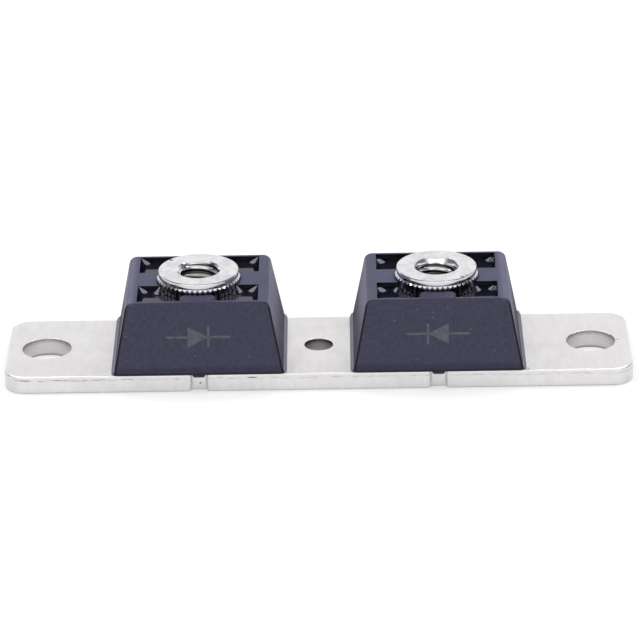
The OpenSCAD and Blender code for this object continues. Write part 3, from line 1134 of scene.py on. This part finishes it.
@dataclass
class Housing:
    """The moulded frame of a tower: leaning walls on a thin flange, an open top, and four arms."""

    tower: TowerShape
    wall_lift: float = 0.2 * MM
    flange_thickness: float = 0.45 * MM
    flange_setback: float = 0.15 * MM
    flange_corner: float = 1.1 * MM
    end_ledge: float = 0.5 * MM
    foot_radius: float = 0.4 * MM
    band_height: float = 1.2 * MM
    end_lean: float = math.radians(10.7)
    side_lean: float = math.radians(10.0)
    end_top_radius: float = 1.15 * MM
    face_edge: float = 0.12 * MM
    face_tilts: Span = (0.6, 0.95)
    rim_edge: float = 0.09 * MM
    rim_reach: Span = (9.0 * MM, 8.3 * MM)
    seam_radius: float = 0.13 * MM
    seam_inset: float = 0.13 * MM
    seam_sink: float = 0.06 * MM
    seam_middle_z: float = 8.0 * MM
    seam_start: tuple[float, ...] = (0.3, 0.5, 0.7, 0.85)
    lug_width: float = 1.95 * MM
    lug_depth: float = 0.7 * MM
    lug_drop: float = 0.4 * MM
    lug_taper: float = 0.7
    lug_edge: float = 0.12 * MM

    def build(self) -> None:
        """Mould one housing, copy it, and set one down on each half of the plate."""
        first = self._walls()
        rounded(first, Element.EDGE, self._is_face_edge, self.face_edge, segments=3)
        shape(first, self._flange(), Join.ADD)
        for along in (-1, 1):
            shape(first, self._fillet(along), Join.ADD)
        shape(first, self._pockets(), Join.CUT)
        rounded(first, Element.EDGE, self._is_rim_edge, self.rim_edge, segments=2)
        shape(first, self._seams(), Join.CUT)
        for across in (-1, 1):
            shape(first, self._lug(across), Join.ADD)
        smooth(first, degrees=32)
        finish = MOULDED_PLASTIC.make()
        for side, housing in ((Side.RIGHT, first), (Side.LEFT, copy_of(first))):
            set_down(housing, side.x, side is Side.LEFT)
            hand_over(housing, side.named("housing"), finish)

    @property
    def flange_z(self) -> float:
        """Height of the flange's top."""
        return self.tower.foot_z + self.flange_thickness

    @property
    def wall_z(self) -> float:
        """Height of the lower edge of the broad faces."""
        return self.tower.foot_z + self.wall_lift

    @property
    def band_z(self) -> float:
        """Height where the upright foot of the broad faces ends."""
        return self.tower.foot_z + self.band_height

    def end_half(self, z: float) -> float:
        """Half length of the walls at a height above the flange."""
        return self.tower.flange_length / 2 - self.end_ledge - (z - self.flange_z) * math.tan(self.end_lean)

    def side_half(self, z: float) -> float:
        """Half width of the walls at a height."""
        return self.tower.flange_width / 2 - max(0.0, z - self.band_z) * math.tan(self.side_lean)

    def _walls(self) -> Solid:
        """The leaning block that the front and the side view of a tower have in common.

        Returns:
            The block.
        """
        top_z, depth = self.tower.top_z, self.tower.flange_width / 2 + OVER
        half = [(self.end_half(z), z) for z in (self.wall_z, top_z)]
        outline = half + [(-x, z) for x, z in reversed(half)]
        block = draw("housing", [Vector((x, -depth, z)) for x, z in outline])
        rounded(block, Element.VERTEX, lambda vertex: abs(vertex.co.z - top_z) < CLOSE,
                tangent_reach(self.end_top_radius, self.end_lean), segments=8)
        draw_out(block, Vector((0, 2 * depth, 0)))
        reach = self.tower.flange_length / 2 + OVER
        half = [(self.side_half(z), z) for z in (self.wall_z - OVER, self.band_z, top_z + OVER)]
        outline = half + [(-y, z) for y, z in reversed(half)]
        side_view = draw("side_view", [Vector((-reach, y, z)) for y, z in outline])
        return shape(block, draw_out(side_view, Vector((2 * reach, 0, 0))), Join.SHARE)

    def _flange(self) -> Solid:
        """The thin flange, set back a little under both broad faces.

        Returns:
            The flange.
        """
        tower = self.tower
        ring = rectangle(tower.flange_length / 2, tower.flange_width / 2 - self.flange_setback, tower.foot_z)
        flange = draw("flange", ring)
        rounded(flange, Element.VERTEX, lambda vertex: True, self.flange_corner, segments=8)
        draw_out(flange, Vector((0, 0, self.flange_thickness)))
        rounded(flange, Element.EDGE, lambda edge: all(v.co.z > self.flange_z - CLOSE for v in edge.verts),
                self.rim_edge, segments=2)
        return flange

    def _fillet(self, along: int) -> Solid:
        """The hollow rounding between an end wall and the flange.

        Args:
            along: Which end, by its sign along X.

        Returns:
            The rounding as a long bead.
        """
        foot, low, skin = self.end_half(self.flange_z), self.flange_z, 2 * CLOSE
        reach = tangent_reach(self.foot_radius, self.end_lean) + 2 * skin
        wide = self.tower.flange_width / 2 - 2 * self.flange_setback
        outline = [
            (foot - reach, low - reach / 2), (foot + reach, low - reach / 2), (foot + reach, low + skin),
            (foot + skin, low + skin), (self.end_half(low + reach) + skin, low + reach),
            (foot - reach, low + reach),
        ]
        bead = draw("fillet", [Vector((along * x, -wide, z)) for x, z in outline])
        rounded(bead, Element.VERTEX,
                lambda vertex: abs(abs(vertex.co.x) - foot - skin) < CLOSE and vertex.co.z < low + 2 * skin,
                reach - 2 * skin, segments=5)
        return draw_out(bead, Vector((0, 2 * wide, 0)))

    def _is_face_edge(self, edge: bmesh.types.BMEdge) -> bool:
        """Does this edge part a broad face from an end wall or from the top?

        Args:
            edge: An edge of the walls.

        Returns:
            Whether it does.
        """
        if len(edge.link_faces) != 2 or max(vertex.co.z for vertex in edge.verts) < self.wall_z + CLOSE:
            return False
        less, more = sorted(abs(face.normal.y) for face in edge.link_faces)
        return less < self.face_tilts[0] and more > self.face_tilts[1]

    def _is_rim_edge(self, edge: bmesh.types.BMEdge) -> bool:
        """Does this edge lie in the top face and border a pocket's wall?

        Args:
            edge: An edge of the housing.

        Returns:
            Whether it does.
        """
        places = [vertex.co for vertex in edge.verts]
        level = all(abs(place.z - self.tower.top_z) < CLOSE for place in places)
        reach_x, reach_y = self.rim_reach
        inside = all(abs(place.x) < reach_x and abs(place.y) < reach_y for place in places)
        return level and inside and edge.calc_face_angle(0.0) > math.radians(60)

    def _seams(self) -> Solid:
        """Thin bent rods along the four leaning edges, which cut the grooves that the mould's parting leaves.

        Returns:
            The four rods as one object.
        """
        rods = [self._rod(across, along) for across in (-1, 1) for along in (-1, 1)]
        hold(rods[0])
        for rod in rods[1:]:
            rod.select_set(True)
        bpy.ops.object.join()
        return rods[0]

    def _rod(self, across: int, along: int) -> Solid:
        """One rod, from the rounded top corner down to the flange.

        Args:
            across: Which broad face, by its sign along Y.
            along: Which end, by its sign along X.

        Returns:
            The rod.
        """
        tower, radius = self.tower, self.end_top_radius - self.seam_inset
        middle_x = self.end_half(tower.top_z) - tangent_reach(self.end_top_radius, self.end_lean)
        middle_z = tower.top_z - self.end_top_radius
        arc = [math.radians(angle) for angle in range(80, 10, -10)]
        path = [(middle_x + radius * math.cos(a), middle_z + radius * math.sin(a)) for a in arc]
        down = (self.seam_middle_z, self.band_z, tower.foot_z)
        path += [(self.end_half(z) - self.seam_inset, z) for z in down]
        points = [Vector((along * x, across * (self.side_half(z) - self.seam_sink), z)) for x, z in path]
        rod = draw("seam", points, filled=False)
        hold(rod)
        bpy.ops.object.convert(target="CURVE")
        rod.data.bevel_depth = self.seam_radius
        rod.data.bevel_resolution = 2
        rod.data.use_fill_caps = True
        for point, share in zip(rod.data.splines[0].points, self.seam_start):
            point.radius = share
        bpy.ops.object.convert(target="MESH")
        with editing(rod):
            seal()
        return rod

    def _pockets(self) -> Solid:
        """Everything that is open inside the housing: the tapered space without the arms, and the seat.

        Returns:
            The open space as a solid.
        """
        tower, above = self.tower, self.tower.top_z + OVER
        space = shape(tower.opening(tower.foot_z - OVER, above), tower.arms(), Join.CUT)
        return shape(space, tower.seat(tower.top_z - tower.arm_height, above), Join.ADD)

    def _lug(self, across: int) -> Solid:
        """A lug that drops into a notch of the plate.

        Args:
            across: Which broad face it hangs from, by its sign along Y.

        Returns:
            The lug.
        """
        outer, foot, half = self.tower.flange_width / 2 - 4 * CLOSE, self.tower.foot_z, self.lug_width / 2
        low, high = foot - self.lug_drop, foot + self.band_height / 2
        right = [(self.lug_taper * half, low), (half, foot), (half, high)]
        ring = [Vector((x, across * outer, z)) for x, z in right + [(-x, z) for x, z in reversed(right)]]
        lug = draw_out(draw("lug", ring), Vector((0, -across * self.lug_depth, 0)))
        rounded(lug, Element.EDGE, lambda edge: all(vertex.co.z < low + CLOSE for vertex in edge.verts),
                self.lug_edge, segments=3)
        return lug


@dataclass(frozen=True)
class Mouth:
    """The conical mouth of a terminal's hole, and where the thread below it starts."""

    top_radius: float
    foot_radius: float
    depth: float
    thread_start: float


@dataclass
class Terminal:
    """The plated screw terminal: a knurled drum with a plain collar, a stem below and a threaded hole."""

    stem_z: float = 6.1 * MM
    stem_diameter: float = 9.4 * MM
    spigot_diameter: float = 3.2 * MM
    spigot_length: float = 0.5 * MM
    collar_diameter: float = 11.7 * MM
    collar_height: float = 0.85 * MM
    collar_edge: float = 0.1 * MM
    knurl_diameter: float = 12.2 * MM
    knurl_depth: float = 0.24 * MM
    knurl_length: float = 5.05 * MM
    knurl_bevel: float = 0.2 * MM
    teeth: int = 50
    floor: float = 0.9 * MM
    crest_radius: float = 2.62 * MM
    root_radius: float = 3.08 * MM
    thread_pitch: float = 1.27 * MM
    thread_turns: int = 11
    thread_steps: int = 48
    wave_steps: int = 10
    mouth_edge: float = 0.12 * MM
    mouth_tail: Span = (0.2 * MM, 0.3 * MM)
    turn_steps: int = 160

    MOUTHS = {
        Side.LEFT: Mouth(3.26 * MM, 2.9 * MM, 0.4 * MM, 0.4 * MM),
        Side.RIGHT: Mouth(3.26 * MM, 2.95 * MM, 1.0 * MM, 0.9 * MM),
    }

    def build(self) -> None:
        """Turn and knurl one blank, copy it, and cut each copy's own mouth and thread."""
        blank = shape(self._body(), self._knurl(), Join.ADD)
        finish = BRIGHT_NICKEL.make()
        for side, terminal in ((Side.RIGHT, blank), (Side.LEFT, copy_of(blank))):
            shape(terminal, self._thread(self.MOUTHS[side]), Join.CUT)
            shape(terminal, self._mouth(self.MOUTHS[side]), Join.CUT)
            smooth(terminal, degrees=34)
            set_down(terminal, side.x)
            hand_over(terminal, side.named("terminal"), finish)

    @property
    def top_z(self) -> float:
        """Height of the terminal's top face."""
        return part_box(Side.RIGHT.named("terminal"))[1].z

    @property
    def knurl_top_z(self) -> float:
        """Height of the knurl's upper end."""
        return self.top_z - self.collar_height

    def _body(self) -> Solid:
        """The turned body: spigot, stem and collar.

        Returns:
            The body.
        """
        stem, spigot, collar = self.stem_diameter / 2, self.spigot_diameter / 2, self.collar_diameter / 2
        stem_z, foot_z = self.stem_z, self.stem_z - self.spigot_length
        top_z, neck_z = self.top_z, self.knurl_top_z - 3 * self.knurl_bevel
        step, round_off = self.collar_edge, 0.3 * self.collar_edge
        profile = [
            (0.0, foot_z), (spigot, foot_z), (spigot, stem_z), (stem, stem_z), (stem, neck_z),
            (collar, neck_z), (collar, top_z - step), (collar - round_off, top_z - round_off),
            (collar - step, top_z), (collar - 2 * step, top_z), (0.0, top_z),
        ]
        return turned("terminal", profile, self.turn_steps)

    def _knurl(self) -> Solid:
        """The knurled drum: a toothed block trimmed by a bevelled turned one.

        Returns:
            The drum.
        """
        tip, high = self.knurl_diameter / 2, self.knurl_top_z
        low = high - self.knurl_length
        drum = cylinder(tip, low - OVER, high + OVER, 3 * self.teeth)
        apply_place()
        third, root = math.tau / (3 * self.teeth), (tip - self.knurl_depth) / tip
        with editing(drum):
            pick(drum, Element.VERTEX, lambda v: round(math.atan2(v.co.x, v.co.y) / third) % 3 == 0)
            bpy.ops.transform.resize(value=(root, root, 1), center_override=(0, 0, 0))
        rim, clear = tip - self.knurl_bevel, tip + OVER
        rise = clear - rim
        profile = [(0.0, low), (rim, low), (clear, low + rise)]
        profile += [(clear, high - rise), (rim, high), (0.0, high)]
        return shape(drum, turned("trim", profile, self.turn_steps), Join.SHARE)

    def _thread(self, mouth: Mouth) -> Solid:
        """A tap that cuts the threaded hole: one pitch of the thread, screwed up along the axis and trimmed.

        Args:
            mouth: The mouth, which says where the thread starts.

        Returns:
            The cutting shape.
        """
        mean, swing = (self.root_radius + self.crest_radius) / 2, (self.root_radius - self.crest_radius) / 2
        bore_z, pitch = self.stem_z + self.floor, self.thread_pitch
        start = bore_z - 2 * pitch + mouth.thread_start
        shares = [step / self.wave_steps for step in range(self.wave_steps + 1)]
        wave = [Vector((mean - swing * math.cos(math.tau * share), 0, start + pitch * share))
                for share in shares]
        tap = draw("tap", wave, filled=False)
        hold(tap)
        modifier = tap.modifiers.new("helix", "SCREW")
        modifier.axis = "Z"
        modifier.angle = math.tau
        modifier.screw_offset = pitch
        modifier.iterations = self.thread_turns
        modifier.steps = modifier.render_steps = self.thread_steps
        modifier.use_merge_vertices = True
        modifier.merge_threshold = CLOSE
        bpy.ops.object.modifier_apply(modifier=modifier.name)
        with editing(tap):
            for height, upper in ((bore_z, False), (self.top_z + OVER, True)):
                bpy.ops.mesh.select_all(action="SELECT")
                bpy.ops.mesh.bisect(plane_co=(0, 0, height), plane_no=(0, 0, 1), use_fill=True,
                                    clear_outer=upper, clear_inner=not upper, threshold=CLOSE)
            seal()
        return tap

    def _mouth(self, mouth: Mouth) -> Solid:
        """A turned cutter for the mouth.

        Args:
            mouth: The mouth's sizes.

        Returns:
            The cutting shape.
        """
        top_z, top, edge = self.top_z, mouth.top_radius, self.mouth_edge
        foot_z = top_z - mouth.depth
        tail, tail_z = self.crest_radius - self.mouth_tail[0], foot_z - self.mouth_tail[1]
        profile = [
            (0.0, tail_z), (tail, tail_z), (mouth.foot_radius, foot_z), (top - edge, top_z - edge),
            (top, top_z), (top + OVER, top_z + OVER), (0.0, top_z + OVER),
        ]
        return turned("mouth", profile, self.turn_steps)


@dataclass(frozen=True)
class Climb:
    """How steeply the epoxy rises towards a wall or corner, and from how far out."""

    slope: float
    reach: float


@dataclass(frozen=True)
class Pour:
    """How high the epoxy stands in a tower, and how it climbs the outer wall, the corners and the knurl."""

    level: float
    rise: float
    wall: Climb
    knurl: Climb
    corner: Climb = Climb(0.84, 1.13 * MM)
    corner_blend: float = 0.06 * MM
    foot_blend: float = 0.16 * MM


@dataclass
class Potting:
    """The epoxy that fills a tower, with the liquid edge that it kept when it set."""

    tower: TowerShape
    terminal: Terminal
    cells: int = 140
    creep: float = 0.5

    POURS = {
        Side.LEFT: Pour(12.56 * MM, 0.94 * MM, Climb(1.0, 0.9 * MM), Climb(0.7, 1.4 * MM)),
        Side.RIGHT: Pour(12.3 * MM, 0.62 * MM, Climb(1.0, 0.7 * MM), Climb(0.7, 1.3 * MM)),
    }

    def build(self) -> None:
        """Pour each tower to its own level."""
        finish = POTTING_EPOXY.make()
        for side in Side:
            pour = self._poured(self.POURS[side])
            shape(pour, self._filled_room(), Join.CUT)
            for piece in HIDDEN:
                shape(pour, self._room_of(side.named(piece)), Join.CUT)
            smooth(pour, degrees=50)
            set_down(pour, side.x, side is Side.LEFT)
            hand_over(pour, side.named("potting"), finish)

    def surface_z(self, x: float, y: float, pour: Pour) -> float:
        """Height of the epoxy's surface, which climbs the outer wall and creeps up the corners.

        Args:
            x: Place along X from the tower's axis.
            y: Place along Y.
            pour: The level and climb.

        Returns:
            The height.
        """
        half, arm = self.tower.opening_half(pour.level), self.tower.end_arm_width / 2
        knurl_x = math.sqrt((self.tower.seat_diameter / 2) ** 2 - arm ** 2)
        from_wall, from_arm = half[0] - abs(x), abs(y) - arm
        gaps = [
            (pour.wall, from_wall),
            (pour.corner, math.hypot(self.creep * from_wall, from_arm)),
            (pour.corner, math.hypot(self.creep * from_wall, half[1] - abs(y))),
            (pour.knurl, math.hypot(abs(x) - knurl_x, from_arm)),
        ]
        soft, blend = pour.foot_blend, pour.corner_blend
        climbs = [way.slope * soft * math.log1p(math.exp((way.reach - max(gap, 0.0)) / soft))
                  for way, gap in gaps]
        climb = blend * math.log1p(sum(math.expm1(climb / blend) for climb in climbs))
        return pour.level + min(climb, pour.rise)

    def _poured(self, pour: Pour) -> Solid:
        """The epoxy before anything takes up room in it.

        Args:
            pour: The level and climb.

        Returns:
            The filled space as a solid.
        """
        tower = self.tower
        block = primitive(bpy.ops.mesh.primitive_grid_add, x_subdivisions=self.cells,
                          y_subdivisions=self.cells, size=2)
        with editing(block):
            bpy.ops.mesh.select_mode(type="EDGE")
            bpy.ops.mesh.select_all(action="DESELECT")
            bpy.ops.mesh.select_non_manifold(extend=False)
            bpy.ops.mesh.extrude_region_move(TRANSFORM_OT_translate={"value": (0, 0, -1)})
            bpy.ops.mesh.edge_face_add()
            face_outward()
        half = tower.opening_half(pour.level)
        for vertex in block.data.vertices:
            u, v = vertex.co.x, vertex.co.y
            on_top = vertex.co.z > -0.5
            z = self.surface_z(u * half[0], v * half[1], pour) if on_top else tower.foot_z
            here = tower.opening_half(z)
            vertex.co = (u * here[0], v * here[1], z)
        return block

    def _filled_room(self) -> Solid:
        """The room that the arms and the terminal take up.

        Returns:
            The room as a solid.
        """
        tower, terminal = self.tower, self.terminal
        knurl_z = terminal.knurl_top_z - terminal.knurl_length
        stem = cylinder(terminal.stem_diameter / 2, terminal.stem_z, knurl_z + OVER)
        room = shape(tower.arms(), tower.seat(knurl_z, tower.top_z + OVER), Join.ADD)
        return shape(room, stem, Join.ADD)

    @staticmethod
    def _room_of(node: str) -> Solid:
        """The room that a hidden piece takes up.

        Args:
            node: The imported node.

        Returns:
            Its box as a solid, about the tower's axis.
        """
        low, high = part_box(node)
        room = primitive(bpy.ops.mesh.primitive_cube_add, size=1, location=(0, 0, (high.z + low.z) / 2))
        room.scale = high - low
        apply_place()
        return room


class HiddenStack:
    """The chip, its buffer plates and solder, and the strap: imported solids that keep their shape."""

    def dress(self) -> None:
        """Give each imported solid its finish."""
        made = {finish: finish.make() for finish in dict.fromkeys(HIDDEN.values())}
        for side in Side:
            for piece, finish in HIDDEN.items():
                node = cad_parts[side.named(piece)]
                node.data.materials.clear()
                node.data.materials.append(made[finish])
                LOG.info("%s: packed solid, finish %s", node.name, finish.name)


# The studio


@dataclass(frozen=True)
class Camera:
    """The photograph's viewpoint, found by fitting the module's known sizes to the picture."""

    yaw: float = math.radians(0.371)
    pitch: float = math.radians(23.91)
    roll: float = math.radians(-1.011)
    distance: float = 601.465 * MM
    slide: Span = (0.144 * MM, 6.058 * MM)
    focal_pixels: float = 4078.808
    picture_pixels: float = 640.0
    sensor: float = 36.0
    nearest: float = 10 * MM

    def set_up(self) -> None:
        """Place the camera and make it the scene's."""
        level = Vector((math.cos(self.yaw), math.sin(self.yaw), 0))
        away = Vector((math.sin(self.yaw), -math.cos(self.yaw), 0))
        back = away * math.cos(self.pitch) + Vector((0, 0, math.sin(self.pitch)))
        above = back.cross(level)
        right = level * math.cos(self.roll) + above * math.sin(self.roll)
        up = above * math.cos(self.roll) - level * math.sin(self.roll)
        lens = bpy.data.cameras.new("camera")
        lens.sensor_width = self.sensor
        lens.lens = self.sensor * self.focal_pixels / self.picture_pixels
        lens.clip_start = self.nearest
        camera = bpy.data.objects.new("camera", lens)
        bpy.context.scene.collection.objects.link(camera)
        stance = Matrix((right, up, back)).transposed().to_4x4()
        stance.translation = self.distance * back + self.slide[0] * right + self.slide[1] * up
        camera.matrix_world = stance
        bpy.context.scene.camera = camera


@dataclass(frozen=True)
class Studio:
    """A white tent, open above, with soft boxes on both hands and over the front, on a plain pale floor."""

    tent_strength: float = 0.8
    open_strength: float = 0.12
    open_edge: Span = (0.46, 0.62)
    front_edge: Span = (-0.9, 0.1)
    front_gain: float = 0.6
    back_edge: Span = (0.1, 0.9)
    back_gain: float = 0.25
    side_edge: Span = (0.55, 0.9)
    side_share: float = 0.2
    brow_way: Span = (-0.405, 0.914)
    brow_edge: Span = (0.89, 0.96)
    brow_spread: float = 0.3
    brow_strength: float = 0.7
    box_size: float = 360 * MM
    box_place: Triple = (303 * MM, 144 * MM, 615 * MM)
    box_power: float = 2.3
    floor_tone: float = 0.5
    floor_lift: float = 0.46
    mirror_lift: float = 0.19
    floor_half: float = 1.5

    def set_up(self) -> None:
        """Build the floor, the soft boxes and the tent's light."""
        bpy.context.scene.view_settings.view_transform = "Standard"
        floor = primitive(bpy.ops.mesh.primitive_plane_add, size=2 * self.floor_half, location=(0, 0, 0))
        floor.name = "floor"
        floor.data.materials.append(self._floor_finish())
        for side in Side:
            lamp = bpy.data.lights.new(side.named("soft_box"), "AREA")
            lamp.shape = "SQUARE"
            lamp.size = self.box_size
            lamp.energy = self.box_power
            box = bpy.data.objects.new(lamp.name, lamp)
            box.location = (side.value * self.box_place[0], *self.box_place[1:])
            box.rotation_euler = box.location.to_track_quat("Z", "Y").to_euler()
            bpy.context.scene.collection.objects.link(box)
        bpy.context.scene.world = self._tent()

    def _tent(self) -> bpy.types.World:
        """The tent's light: brighter in front and behind, dim at the sides and above, and the front's box.

        Returns:
            The world.
        """
        world = bpy.data.worlds.new("light_tent")
        world.use_nodes = True
        graph = Graph(world.node_tree)
        to_camera = graph.node("ShaderNodeLightPath").outputs["Is Camera Ray"]
        x, y, z = graph.parts(graph.node("ShaderNodeTexCoord").outputs["Generated"])
        sideways = graph.size(x)
        tent = graph.times(graph.ramp(z, *self.open_edge, self.tent_strength, self.open_strength),
                           graph.ramp(y, *self.front_edge, 1 + self.front_gain, 1.0),
                           graph.ramp(y, *self.back_edge, 1.0, 1 + self.back_gain),
                           graph.ramp(sideways, *self.side_edge, 1.0, self.side_share))
        toward = graph.scaled(y, self.brow_way[0], graph.times(z, self.brow_way[1]))
        toward = graph.scaled(sideways, self.brow_spread, toward)
        tent = graph.math("ADD", tent, graph.ramp(toward, *self.brow_edge, 0.0, self.brow_strength))
        values = {"Color": WHITE, "Strength": graph.math("MAXIMUM", tent, to_camera)}
        light = graph.node("ShaderNodeBackground", values)
        graph.node("ShaderNodeOutputWorld", {"Surface": light.outputs[0]})
        return world

    def _floor_finish(self) -> bpy.types.Material:
        """Pale matt floor that shows white to the eye and keeps the module's shadow.

        Returns:
            The floor's material.
        """
        material = bpy.data.materials.new("pale_floor")
        material.use_nodes = True
        graph = Graph(material.node_tree)
        path = graph.node("ShaderNodeLightPath").outputs
        matt = graph.node("ShaderNodeBsdfDiffuse", {"Color": [self.floor_tone] * 3})
        lift = graph.scaled(path["Is Glossy Ray"], self.mirror_lift,
                            graph.times(path["Is Camera Ray"], self.floor_lift))
        glow = graph.node("ShaderNodeEmission", {"Color": WHITE, "Strength": lift})
        both = graph.node("ShaderNodeAddShader", {0: matt.outputs[0], 1: glow.outputs[0]})
        graph.node("ShaderNodeOutputMaterial", {"Surface": both.outputs[0]})
        return material


def main() -> None:
    """Build the module's pieces in order, then the studio around them."""
    logging.basicConfig(level=logging.INFO, format="%(name)s: %(message)s")
    tower, terminal = TowerShape(), Terminal()
    BasePlate().build()
    Housing(tower).build()
    terminal.build()
    Potting(tower, terminal).build()
    HiddenStack().dress()
    Camera().set_up()
    Studio().set_up()


if __name__ == "__main__":
    main()
